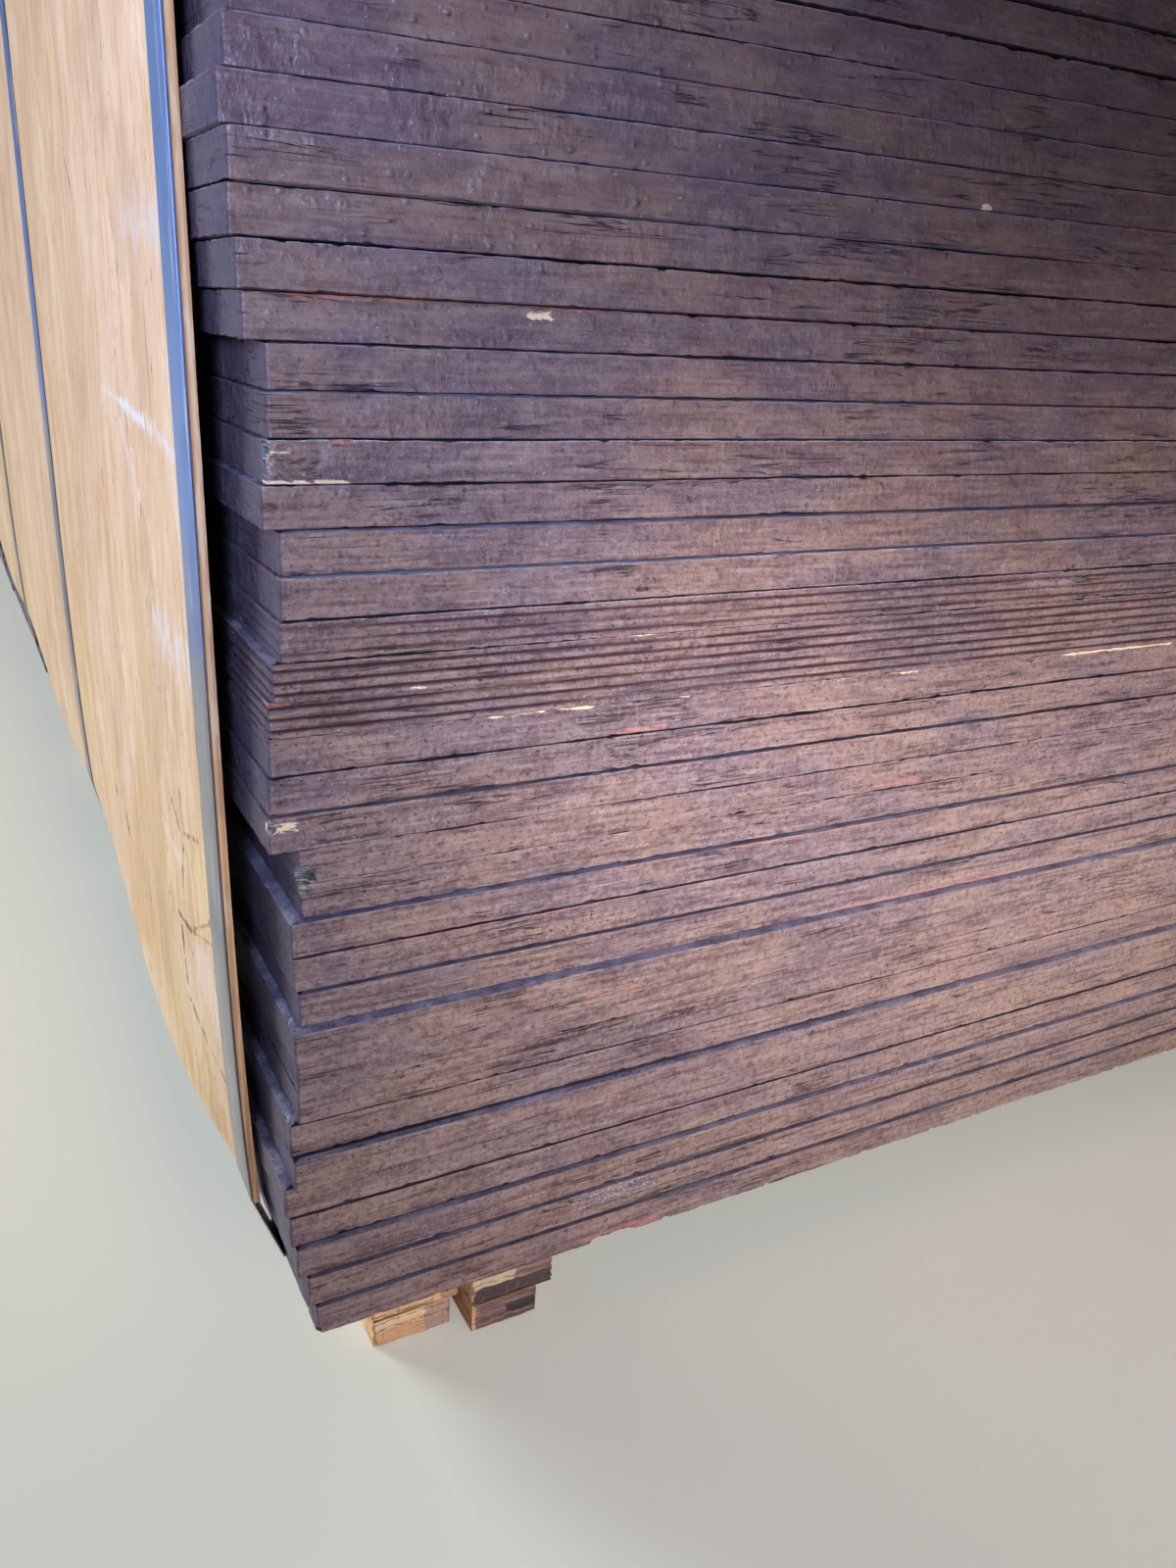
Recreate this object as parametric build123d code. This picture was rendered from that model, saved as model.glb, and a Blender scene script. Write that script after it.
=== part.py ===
from build123d import *
import os
from math import exp

os.makedirs("parts", exist_ok=True)

# A strapped pack of film-faced plywood, in millimetres.
# X runs across the pack, Y along it from the near end to the far end, Z up.

# The sheets
sheet_width = 1220.0
sheet_length = 2440.0
sheet_thickness = 18.0
sheet_count = 45
corner_round = 1.5

# How each sheet lies, from the bottom up: how far right of true its long edge is,
# and how far in from true its near end is. The seen sheets come first.
sheet_lies = [
    (-1.0, -5.0), (-4.5, -3.0), (-9.0, -1.0), (-11.0, 2.0), (-13.0, 2.5),
    (-8.5, -2.0), (-9.0, 3.0), (-4.5, 2.5), (-4.5, 1.0), (-6.0, -2.0),
    (-2.0, 3.0), (-3.5, 5.0), (-4.0, 5.5), (2.0, 8.5), (1.0, 6.5),
    (-12.0, 5.0), (-11.0, 6.5), (-10.0, 6.5), (-10.5, 3.5), (-9.5, -3.0),
    (-6.5, -5.5), (-5.5, -6.0), (-4.5, -4.0), (-10.0, 0.5), (-8.0, -1.0),
    (-7.0, -1.5), (-6.0, 1.0), (-14.0, 2.0), (-16.5, -3.0), (-19.0, -5.0),
    (-19.0, -8.5), (-21.0, -5.0), (-17.5, -3.0), (-14.0, 0.0), (-10.0, 3.0),
    (-8.0, 1.0), (-11.0, -2.0), (-13.0, -4.0), (-9.0, -1.0), (-6.0, 4.0),
    (-12.0, 2.0), (-15.0, -1.0), (-10.0, -3.0), (-7.0, 1.0), (-11.0, 0.0),
]

# Near corners that are broken off: sheet number, then how far the break runs along X and along Y
broken_corners = {1: (5.0, 9.0), 14: (7.0, 6.0), 15: (11.0, 13.0), 16: (5.0, 3.0), 25: (4.0, 6.0)}

# Chips out of the near lower edge: sheet number, then where the chip starts, its length along X,
# how far it goes in and how high it reaches
edge_chips = {1: (160.0, 34.0, 4.0, 4.5)}

# The cover boards
board_thickness = 3.5
board_setback = 56.0       # from the sheets' ends to the side boards' ends
board_bottom = 44.0        # the side boards' lower edge above the bottom sheet's underside
board_rise = 0.035         # how much that edge climbs for each millimetre along the pack
board_tuck_left = 7.8      # how far the strap pulls the lower edge in
board_tuck_right = 5.0
tuck_height_left = 110.0   # over what height that pull fades out
tuck_height_right = 25.0
bulge_height = 260.0       # over what height the bulge between two straps fades out
bay_bulges = (12.0, 5.0, 4.0, 6.0)
top_setback = 20.0         # from the sheets' ends to the top board's ends

# The straps
strap_width = 32.0
strap_thickness = 0.9
strap_setback = 75.0       # from the sheets' ends to the end straps
strap_shifts = (0.0, 42.0, 110.0, 87.0, 0.0)   # how far each strap sits from an even spacing
seat_flat = 4.0            # how far the board lies flat beyond each side of a strap
seal_length = 32.0
seal_wall = 1.0
seal_place = 330.0         # from the pack's middle, along X

# The foot blocks, each of two layers sawn from the same plywood
foot_gap = 3.0             # between the two strips of a pair
foot_strip = 50.0          # width of the inner strip
foot_inset = 33.0          # from the long edge to the outer strip
foot_setback = 8.0         # from the sheets' ends to the end blocks
foot_proud = 12.0          # how much further out the inner strip stands
foot_length = 120.0        # of the blocks that are not cut short by a strap
foot_trim = 5.0            # how much narrower the lower layer is

# Running clearances between pieces that only press on each other
seat_gap = 0.3

strap_step = (sheet_length - 2 * strap_setback) / (len(strap_shifts) - 1)
strap_places = [strap_setback + i * strap_step + shift for i, shift in enumerate(strap_shifts)]
stack_height = sheet_count * sheet_thickness
foot_height = 2 * sheet_thickness
lies = [sheet_lies[i % len(sheet_lies)] for i in range(sheet_count)]
far_left = min(x for x, y in lies)
far_right = sheet_width + max(x for x, y in lies)
bay_count = len(strap_places) - 1


def sheet(number):
    """One plywood sheet where it lies, with its broken corner and its chipped edge where it has them."""
    x, y = lies[number - 1]
    z = (number - 1) * sheet_thickness
    with BuildPart() as plate:
        with BuildSketch(Plane.XY.offset(z)):
            with Locations((x + sheet_width / 2, y + sheet_length / 2)):
                RectangleRounded(sheet_width, sheet_length, corner_round)
        extrude(amount=sheet_thickness)
        if number in broken_corners:
            along_x, along_y = broken_corners[number]
            with BuildSketch(Plane.XY.offset(z)):
                with BuildLine(Location((x, y))):
                    Polyline((0, 0), (along_x, 0), (along_x * 0.45, along_y * 0.35), (0, along_y), close=True)
                make_face()
            extrude(amount=sheet_thickness, mode=Mode.SUBTRACT)
        if number in edge_chips:
            start, length, depth, height = edge_chips[number]
            with BuildSketch(Plane.YZ.offset(x + start)):
                with BuildLine(Location((y, z))):
                    Polyline((0, 0), (depth, 0), (0, height), close=True)
                make_face()
            extrude(amount=length, mode=Mode.SUBTRACT)
    return plate.part


def bulge(y):
    """How far a side board stands off between two straps: most at a third of each bay."""
    seat = strap_width / 2 + seat_flat
    for bay in range(bay_count):
        start = strap_places[bay] + seat
        end = strap_places[bay + 1] - seat
        if start < y < end:
            u = (y - start) / (end - start)
            return bay_bulges[bay % len(bay_bulges)] * 8.1 * u * (1 - u) ** 2.5
    return 0.0


def lower_edge(y):
    """Height of a side board's lower edge."""
    return board_bottom + board_rise * (y - strap_places[0])


def heights(y):
    """Heights at which a side board's section bends, from its lower edge to its top."""
    low = lower_edge(y)
    top = stack_height - seat_gap
    return [low + (top - low) * share for share in (0, 0.05, 0.11, 0.2, 0.34, 0.55, 0.78, 1)]


def left_face(y, z):
    """X of the left board's outer face."""
    up = z - lower_edge(y)
    tuck = board_tuck_left * exp(-up / tuck_height_left)
    return far_left - seat_gap - board_thickness + tuck - bulge(y) * exp(-up / bulge_height)


def right_face(y, z):
    """X of the right board's outer face."""
    up = z - lower_edge(y)
    tuck = board_tuck_right * exp(-up / tuck_height_right)
    return far_right + seat_gap + board_thickness - tuck + bulge(y) * exp(-up / bulge_height)


def side_board(face, inward):
    """A thin board that leans on the sheets, pulled in under each strap and bulging between them."""
    first = board_setback
    last = sheet_length - board_setback
    seat = strap_width / 2 + seat_flat
    stations = [first, last]
    for bay in range(bay_count):
        start = strap_places[bay] + seat
        end = strap_places[bay + 1] - seat
        stations += [start + (end - start) * share for share in (0, 0.06, 0.14, 0.24, 0.36, 0.5, 0.65, 0.82, 1)]
    sections = []
    for y in sorted(stations):
        outer = [Vector(face(y, z), y, z) for z in heights(y)]
        inner = [point + Vector(inward * board_thickness, 0, 0) for point in reversed(outer)]
        sections.append(Wire.make_polygon(outer + inner, close=True))
    return Solid.make_loft(sections, ruled=True)


def top_reach():
    """X of the top board's two long edges, flush with the side boards' outer faces."""
    return left_face(strap_places[0], stack_height), right_face(strap_places[0], stack_height)


def top_board():
    """The thin board on the top sheet, which reaches over the side boards' top edges."""
    left, right = top_reach()
    length = sheet_length - 2 * top_setback
    centre = ((left + right) / 2, sheet_length / 2, stack_height + board_thickness / 2)
    return Location(centre) * Solid.make_box(right - left, length, board_thickness).moved(
        Location((-(right - left) / 2, -length / 2, -board_thickness / 2))
    )


def hull(points):
    """The convex outline round some points, anticlockwise."""
    ordered = sorted(set(points))
    outline = []
    for side in (ordered, ordered[::-1]):
        chain = []
        for x, z in side:
            while len(chain) > 1:
                (ax, az), (bx, bz) = chain[-2:]
                if (bx - ax) * (z - az) - (bz - az) * (x - ax) > 0.001:
                    break
                chain.pop()
            chain.append((x, z))
        outline += chain[:-1]
    return outline


def grow(outline, amount):
    """A convex outline with every side moved out by an amount."""
    grown = []
    count = len(outline)
    for i in range(count):
        before, here, after = (Vector(*outline[(i + step) % count]) for step in (-1, 0, 1))
        first = (here - before).normalized().rotate(Axis.Z, -90)
        second = (after - here).normalized().rotate(Axis.Z, -90)
        corner = here + (first + second) * (amount / (1 + first.dot(second)))
        grown.append((corner.X, corner.Y))
    return grown


def strap(y):
    """A steel strap drawn tight round the sheets and the cover boards, so its path is their hull."""
    corners = []
    for number in range(sheet_count):
        x = lies[number][0]
        for z in (number * sheet_thickness, (number + 1) * sheet_thickness):
            corners += [(x, z), (x + sheet_width, z)]
    for z in heights(y):
        corners += [(left_face(y, z), z), (right_face(y, z), z)]
    corners += [(x, stack_height + board_thickness) for x in top_reach()]
    plane = Plane(origin=(0, y + strap_width / 2, 0), x_dir=(1, 0, 0), z_dir=(0, -1, 0))
    outline = hull(corners)
    with BuildPart() as band:
        with BuildSketch(plane):
            Polygon(*grow(outline, seat_gap + strap_thickness), align=None)
            Polygon(*grow(outline, seat_gap), align=None, mode=Mode.SUBTRACT)
        extrude(amount=strap_width)
    return band.part


def seal(y):
    """The crimped clip that closes a strap, folded down over both of its edges."""
    strap_top = stack_height + board_thickness + seat_gap + strap_thickness
    bottom = stack_height + board_thickness + seat_gap
    width = strap_width + 2 * (seat_gap + seal_wall)
    middle = (left_face(y, stack_height) + right_face(y, stack_height)) / 2
    with BuildPart() as clip:
        with Locations((middle + seal_place, y, bottom)):
            Box(
                seal_length,
                width,
                strap_top + seat_gap + seal_wall - bottom,
                align=(Align.CENTER, Align.CENTER, Align.MIN),
            )
            Box(
                seal_length,
                strap_width + 2 * seat_gap,
                strap_top + seat_gap - bottom,
                align=(Align.CENTER, Align.CENTER, Align.MIN),
                mode=Mode.SUBTRACT,
            )
        fillet(clip.edges().filter_by(Axis.X).sort_by(Axis.Z)[-2:], seal_wall * 0.8)
    return clip.part


def foot_blocks(layer):
    """The foot blocks of one layer: three rows of three pairs. The end rows stop short of the end straps."""
    first = foot_setback
    first_end = strap_places[0] - strap_width / 2 - foot_gap
    last = strap_places[-1] + strap_width / 2 + foot_gap
    last_end = sheet_length - foot_setback
    middle = (strap_places[1] + strap_places[2]) / 2
    blocks = []
    for side in (-1, 0, 1):
        for strip in (0, 1):
            proud = foot_proud * strip
            if side:
                ends = (first - proud, first_end), (last, last_end + proud)
            else:
                near = strap_places[0] + strap_width / 2 + foot_gap
                far = strap_places[-1] - strap_width / 2 - foot_gap
                ends = (near, near + foot_length), (far - foot_length, far)
            ends += ((middle - foot_length / 2, middle + foot_length / 2),)
            for start, end in ends:
                blocks.append(foot_block(layer, side, strip, start, end))
    return Compound(blocks)


def foot_block(layer, side, strip, start, end):
    """One layer of one block. Strip 0 of a side pair is the outer one."""
    wide = foot_strip - layer * foot_trim * (1 + strip)
    low = strip * (foot_strip + foot_gap)
    if side:
        low += foot_inset
    else:
        low += sheet_width / 2 - foot_strip - foot_gap / 2
    if side == 1:
        low = sheet_width - low - wide
    block = Solid.make_box(wide, end - start, sheet_thickness)
    return block.moved(Location((low, start, -(layer + 1) * sheet_thickness)))


pieces = {f"sheet_{number:02d}": sheet(number) for number in range(1, sheet_count + 1)}
pieces["cover_board_left"] = side_board(left_face, 1)
pieces["cover_board_right"] = side_board(right_face, -1)
pieces["cover_board_top"] = top_board()
for number, place in enumerate(strap_places, 1):
    pieces[f"steel_strap_{number}"] = strap(place)
pieces["strap_seals"] = Compound([seal(place) for place in strap_places])
pieces["foot_blocks_upper"] = foot_blocks(0)
pieces["foot_blocks_lower"] = foot_blocks(1)

# The origin is the middle of the footprint, at the underside of the feet
whole = Compound(list(pieces.values())).bounding_box()
middle = whole.center()
home = Location((-middle.X, -middle.Y, -whole.min.Z))
for name, piece in pieces.items():
    export_step(piece.moved(home), f"parts/{name}.step")
print(f"pack {whole.size.X:.1f} x {whole.size.Y:.1f} x {whole.size.Z:.1f} mm, {len(pieces)} nodes")
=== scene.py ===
# %% [markdown]
# A strapped pack of film-faced plywood, seen close from its near left corner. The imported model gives
# every piece its place and size. This lesson gives each piece its looks: the painted edges, the dark
# film, the thin cover boards, the steel straps and the sawn feet. All lengths are in metres.

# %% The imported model
from math import radians

import bmesh
import bpy
from mathutils import Euler, Matrix, Vector


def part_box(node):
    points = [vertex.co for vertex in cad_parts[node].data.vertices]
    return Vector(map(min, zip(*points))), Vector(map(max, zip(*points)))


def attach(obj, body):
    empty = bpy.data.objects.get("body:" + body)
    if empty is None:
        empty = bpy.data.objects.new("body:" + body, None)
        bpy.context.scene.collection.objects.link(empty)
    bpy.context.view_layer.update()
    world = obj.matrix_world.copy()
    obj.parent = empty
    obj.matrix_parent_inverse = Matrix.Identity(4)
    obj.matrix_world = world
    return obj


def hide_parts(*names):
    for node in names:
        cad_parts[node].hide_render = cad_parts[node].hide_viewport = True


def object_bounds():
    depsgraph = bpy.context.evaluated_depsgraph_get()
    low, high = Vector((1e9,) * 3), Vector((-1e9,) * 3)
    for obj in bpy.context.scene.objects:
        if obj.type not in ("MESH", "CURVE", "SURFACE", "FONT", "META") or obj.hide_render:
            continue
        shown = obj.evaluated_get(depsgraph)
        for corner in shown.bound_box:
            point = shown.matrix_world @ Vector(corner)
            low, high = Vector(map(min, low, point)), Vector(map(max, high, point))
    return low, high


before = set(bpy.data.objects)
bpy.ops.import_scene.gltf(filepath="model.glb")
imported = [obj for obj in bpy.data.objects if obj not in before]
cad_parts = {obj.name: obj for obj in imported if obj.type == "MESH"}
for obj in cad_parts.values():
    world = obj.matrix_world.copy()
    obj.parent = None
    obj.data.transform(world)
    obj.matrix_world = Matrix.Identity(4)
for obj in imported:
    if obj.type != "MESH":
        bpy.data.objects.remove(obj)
cad_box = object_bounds()
mm = 0.001
sheet_names = sorted(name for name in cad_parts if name.startswith("sheet_"))
print(len(sheet_names), "sheets, box", [round(side, 3) for side in cad_box[1] - cad_box[0]])

# %% [markdown]
# The camera stands close to the corner and looks down along the pack, a little tilted, as a phone is
# held. Its turn is made of a heading, a pitch and a roll, so each can be corrected by itself.

# %% The camera
camera_place = Vector((-0.7325, -1.7165, 0.5366))
camera_heading = radians(28.94)
camera_pitch = radians(-20.79)
camera_roll = radians(3.03)
camera_data = bpy.data.cameras.new("camera")
camera_data.lens = 28.2
camera_data.sensor_width = 36.0
camera = bpy.data.objects.new("camera", camera_data)
aim = Euler((radians(90) + camera_pitch, 0, -camera_heading)).to_matrix()
turn = aim @ Matrix.Rotation(camera_roll, 3, "Z")
camera.matrix_world = Matrix.Translation(camera_place) @ turn.to_4x4()
bpy.context.scene.collection.objects.link(camera)
bpy.context.scene.camera = camera
print("camera", round((camera_place - cad_box[0]).length, 2), "m from the near left corner")

# %% [markdown]
# Materials are node trees, and small helpers keep them short. Two colours are mixed by a mask, which is
# a value from 0 to 1, and a mask is mostly a noise cut off between two levels. All patterns read Object
# coordinates, which are metres in the pack's own frame, so a scale of 1000 means one millimetre.

# %% Helpers for materials
def new_material(name):
    material = bpy.data.materials.new(name)
    material.use_nodes = True
    tree = material.node_tree
    return material, tree, tree.nodes["Principled BSDF"]


def add(tree, kind, wires=None, **settings):
    """Adds a node. A wire is a number, a colour or another node's output."""
    node = tree.nodes.new("ShaderNode" + kind)
    for name, value in settings.items():
        setattr(node, name, value)
    for name, value in (wires or {}).items():
        if isinstance(value, bpy.types.NodeSocket):
            tree.links.new(value, node.inputs[name])
        else:
            node.inputs[name].default_value = value
    return node


def mix(tree, factor, first, second, how="MIX"):
    """Mixes two colours by a factor. Any of the three may be an output."""
    node = tree.nodes.new("ShaderNodeMix")
    node.data_type = "RGBA"
    node.blend_type = how
    for place, value in ((0, factor), (6, first), (7, second)):
        if isinstance(value, bpy.types.NodeSocket):
            tree.links.new(value, node.inputs[place])
        else:
            node.inputs[place].default_value = value if place == 0 else (*value, 1.0)
    return node.outputs[2]


def place(tree, scale=(1, 1, 1), shift=(0, 0, 0)):
    """Object coordinates, stretched and shifted."""
    here = add(tree, "TexCoord").outputs["Object"]
    return add(tree, "Mapping", {"Vector": here, "Scale": scale, "Location": shift}).outputs["Vector"]


def axis(tree, name):
    """The place along one axis of the pack, in metres."""
    return add(tree, "SeparateXYZ", {"Vector": place(tree)}).outputs[name]


def side_normal(tree, name):
    """How far the surface faces along one axis, from -1 to 1."""
    facing_out = add(tree, "NewGeometry").outputs["True Normal"]
    return add(tree, "SeparateXYZ", {"Vector": facing_out}).outputs[name]


def noise(tree, scale, shift=(0, 0, 0), detail=3.0, rough=0.55, warp=0.0):
    """A noise with its own size along X, Y and Z, given as repeats in a metre."""
    wires = {"Vector": place(tree, scale, shift), "Scale": 1.0, "Detail": detail, "Roughness": rough}
    wires["Distortion"] = warp
    return add(tree, "TexNoise", wires).outputs["Fac"]


def levels(tree, value, low, high, bottom=0.0, top=1.0, smooth=True):
    """Maps the range from low to high onto another range, and holds it there."""
    style = "SMOOTHSTEP" if smooth else "LINEAR"
    wires = {"Value": value, "From Min": low, "From Max": high, "To Min": bottom, "To Max": top}
    return add(tree, "MapRange", wires, interpolation_type=style).outputs["Result"]


def combine(tree, how, first, second=0.0):
    """One step of arithmetic between two values."""
    node = add(tree, "Math", operation=how)
    for slot_number, value in enumerate((first, second)):
        if isinstance(value, bpy.types.NodeSocket):
            tree.links.new(value, node.inputs[slot_number])
        else:
            node.inputs[slot_number].default_value = value
    return node.outputs["Value"]


def product(tree, *masks):
    """Several masks, multiplied."""
    result = masks[0]
    for mask in masks[1:]:
        result = combine(tree, "MULTIPLY", result, mask)
    return result


def distance_from(tree, value, middle):
    return combine(tree, "ABSOLUTE", combine(tree, "SUBTRACT", value, middle))


def coat(tree, colour, layers):
    """Lays colours over a first one. Each layer is a mask and its colour."""
    for mask, tone in layers:
        colour = mix(tree, mask, colour, tone)
    return colour


def relief(tree, height, distance, strength=1.0, under=None):
    """A bump from a height, on top of another bump where one is given."""
    wires = {"Height": height, "Distance": distance, "Strength": strength}
    if under:
        wires["Normal"] = under
    return add(tree, "Bump", wires).outputs["Normal"]


print("helpers ready")

# %% [markdown]
# The pack rests on a plain pale floor that takes its shade. The lamps are kept low, so that no pale
# surface of the pack turns white. The floor makes up for that with a little light of its own, which
# only the camera and mirrors see, so the pack gets none of it.

# %% The floor
floor_colour = (0.74, 0.75, 0.68)
floor_glow = 0.36
bpy.ops.object.select_all(action="DESELECT")
bpy.ops.mesh.primitive_plane_add(size=60.0, location=(0, 0, 0))
floor = bpy.context.object
floor.name = "floor"
paper, tree, shader = new_material("pale floor")
seen = add(tree, "LightPath").outputs
directly = combine(tree, "MAXIMUM", seen["Is Camera Ray"], seen["Is Glossy Ray"])
shader.inputs["Base Color"].default_value = (*floor_colour, 1)
shader.inputs["Emission Color"].default_value = (*floor_colour, 1)
shader.inputs["Roughness"].default_value = 0.85
tree.links.new(combine(tree, "MULTIPLY", directly, floor_glow), shader.inputs["Emission Strength"])
floor.data.materials.append(paper)
print("floor", tuple(round(side) for side in floor.dimensions))

# %% [markdown]
# The light is cool from the left and from behind. From the front it is warm and low: it reaches the
# lower sheets on the right and leaves the upper ones dim. So the world is a soft gradient, and a few
# lamps give the direction.

# %% The sky
world = bpy.data.worlds.new("soft sky")
world.use_nodes = True
tree = world.node_tree
towards_sky = Vector((-0.4, 0.75, 0.5)).normalized()
direction = add(tree, "TexCoord").outputs["Generated"]
facing = add(tree, "VectorMath", {0: direction, 1: towards_sky}, operation="DOT_PRODUCT").outputs["Value"]
gradient = levels(tree, facing, -0.4, 0.95)
sky_colour = mix(tree, gradient, (0.15, 0.105, 0.11), (0.1, 0.14, 0.22))
seen = add(tree, "LightPath").outputs["Is Camera Ray"]
tree.links.new(mix(tree, seen, sky_colour, (0.86, 0.88, 0.86)), tree.nodes["Background"].inputs["Color"])
bpy.context.scene.world = world
print("sky towards", [round(part, 2) for part in towards_sky])

# %% [markdown]
# The low lamps are wide with a narrow spread, so their light fades with height. The light from behind
# comes from far away, so it is a sun lamp, as soft as a wide cloud, and even along the whole pack. Lamps
# are hidden from the camera.

# %% The lamps
def light(name, kind, turn, power, colour, where=(0, 0, 0)):
    """A lamp of one kind, hidden from the camera."""
    data = bpy.data.lights.new(name, kind)
    data.energy = power
    data.color = colour
    lit = bpy.data.objects.new(name, data)
    bpy.context.scene.collection.objects.link(lit)
    lit.matrix_world = Matrix.Translation(where) @ turn.to_matrix().to_4x4()
    lit.visible_camera = False
    return lit


def soft_lamp(name, where, aim_at, size, power, colour, spread):
    """A lamp of a width and a height that points at a place."""
    turn = (Vector(aim_at) - Vector(where)).to_track_quat("-Z", "Y")
    lit = light(name, "AREA", turn, power, colour, where)
    lit.data.shape = "RECTANGLE"
    lit.data.size, lit.data.size_y = size
    lit.data.spread = radians(spread)


# Name, place, aim, width and height, power, colour and spread
lamps = [
    ("low_warm", (0.16, -2.05, 0.2), (0.04, -1.22, 0.16), (0.9, 0.16), 0.62, (1.0, 0.68, 0.48), 56),
    ("low_right", (0.35, -1.9, 0.12), (0.2, -1.22, 0.08), (0.9, 0.12), 0.36, (0.72, 0.95, 0.95), 50),
    ("middle", (-0.12, -2.05, 0.28), (-0.18, -1.22, 0.28), (0.5, 0.14), 0.58, (0.88, 0.88, 0.95), 42),
    ("patch", (-0.36, -2.0, 0.34), (-0.4, -1.22, 0.36), (0.15, 0.1), 0.13, (1.0, 0.9, 0.88), 28),
    ("low_left", (-0.4, -2.05, 0.16), (-0.4, -1.22, 0.08), (0.5, 0.14), 0.34, (0.9, 0.9, 0.92), 46),
    ("cool_left", (-1.05, -1.95, 0.75), (-0.62, -1.22, 0.56), (0.3, 0.3), 0.95, (0.55, 0.68, 1.0), 50),
]
for settings in lamps:
    soft_lamp(*settings)

towards_light = Vector((-1.58, 2.7, 0.5)).to_track_quat("Z", "Y")
sky_behind = light("sky_behind", "SUN", towards_light, 5.3, (0.86, 0.9, 0.9))
sky_behind.data.angle = radians(24)
sky_behind.visible_glossy = False
print("lamps", len(bpy.data.lights))

# %% [markdown]
# Edit mode works on what is selected, so one helper picks vertices, edges or faces by where they are.
# Noise that roughens a piece is a Displace modifier with a cloud texture. Its ramp keeps the noise at
# nothing up to a level, so that only some places are moved and the size never grows.

# %% Helpers for modelling
def edit(piece):
    """Opens one piece in edit mode with nothing selected."""
    bpy.ops.object.select_all(action="DESELECT")
    piece.select_set(True)
    bpy.context.view_layer.objects.active = piece
    bpy.ops.object.mode_set(mode="EDIT")
    bpy.ops.mesh.select_all(action="DESELECT")


def done():
    bpy.ops.object.mode_set(mode="OBJECT")


def pick(piece, kind, test):
    """Selects the vertices, edges or faces whose middle passes a test."""
    bpy.ops.mesh.select_mode(type=kind)
    bpy.ops.mesh.select_all(action="DESELECT")
    shape = bmesh.from_edit_mesh(piece.data)
    if kind == "VERT":
        chosen = [item for item in shape.verts if test(item.co, item)]
    elif kind == "EDGE":
        chosen = [item for item in shape.edges if test((item.verts[0].co + item.verts[1].co) / 2, item)]
    else:
        chosen = [item for item in shape.faces if test(item.calc_center_median(), item)]
    for item in chosen:
        item.select_set(True)
    bmesh.update_edit_mesh(piece.data)
    return len(chosen)


def cut(where, facing):
    """Cuts the selection with a plane."""
    bpy.ops.mesh.bisect(plane_co=where, plane_no=facing)


def clouds(name, size, start, full, basis="BLENDER_ORIGINAL"):
    """A cloud texture that is nothing below one level and whole above another."""
    texture = bpy.data.textures.new(name, "CLOUDS")
    texture.noise_scale = size
    texture.noise_basis = basis
    texture.use_color_ramp = True
    ramp = texture.color_ramp.elements
    ramp[0].position, ramp[0].color = start, (0, 0, 0, 1)
    ramp[1].position, ramp[1].color = full, (1, 1, 1, 1)
    return texture


def push(piece, texture, amount, group="", direction="NORMAL"):
    """Moves a piece's points by a noise, out along their normals or along one axis."""
    bpy.ops.object.select_all(action="DESELECT")
    bpy.context.view_layer.objects.active = piece
    modifier = piece.modifiers.new("push", "DISPLACE")
    modifier.texture = texture
    modifier.texture_coords = "LOCAL"
    modifier.direction = direction
    modifier.mid_level = 0.0
    modifier.strength = amount
    modifier.vertex_group = group
    bpy.ops.object.modifier_apply(modifier=modifier.name)


print("modelling helpers ready")

# %% [markdown]
# A sheet is 7 plies of wood, glued crosswise, with its four sides sealed by paint. Close up, its
# edge is not a flat strip: the arrises are worn, the gap to the next sheet opens and closes, and the
# end-grain plies sink between the others. So the rim of the plate gets rows of points, two for each
# ply, and one plate serves for all sheets. A cube would need cuts all over its big faces, so the rim is
# divided first, as a bare outline, and then filled and extruded to the sheet's thickness.

# %% The outline of a plate
sheet_low, sheet_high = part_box("sheet_03")
sheet_wide, sheet_long, sheet_thick = sheet_high - sheet_low
seen_wide = 0.70      # how much of the near end is seen close up
seen_side = 0.07
fine_step = 2.8 * mm
coarse_step = 19.1 * mm
corner_round = 1.5 * mm

bpy.ops.object.select_all(action="DESELECT")
bpy.ops.mesh.primitive_plane_add(size=1.0, location=(0, 0, 0))
plate = bpy.context.object
plate.name = "plate"
edit(plate)
bpy.ops.mesh.select_all(action="SELECT")
bpy.ops.transform.resize(value=(sheet_wide, sheet_long, 1))
bpy.ops.transform.translate(value=(sheet_wide / 2, sheet_long / 2, 0))
bpy.ops.mesh.bevel(affect="VERTICES", offset=corner_round, segments=3)
bpy.ops.mesh.select_all(action="SELECT")
bpy.ops.mesh.delete(type="ONLY_FACE")
for where, facing in (((seen_wide, 0, 0), (1, 0, 0)), ((0, seen_side, 0), (0, 1, 0))):
    bpy.ops.mesh.select_all(action="SELECT")
    cut(where, facing)


def is_near(point):
    """Whether a point of the rim is seen close up."""
    return point.y < 2 * mm and point.x < seen_wide or point.x < 2 * mm and point.y < seen_side


def too_long(point, edge):
    return edge.calc_length() > (fine_step if is_near(point) else coarse_step)


while pick(plate, "EDGE", too_long):
    bpy.ops.mesh.subdivide(number_cuts=1)
done()
print("outline of", len(plate.data.edges), "edges")

# %% The plate's thickness and its rows of plies
ply_count = 7
ply = sheet_thick / ply_count
lip = 0.15 * mm
seam_depth = 3.0 * mm
lip_rows = [lip, sheet_thick - lip]
edge_rows = [1.0 * mm, sheet_thick / 2, sheet_thick - 1.0 * mm]
ply_rows = [row * ply / 2 for row in range(1, 2 * ply_count)]

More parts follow.
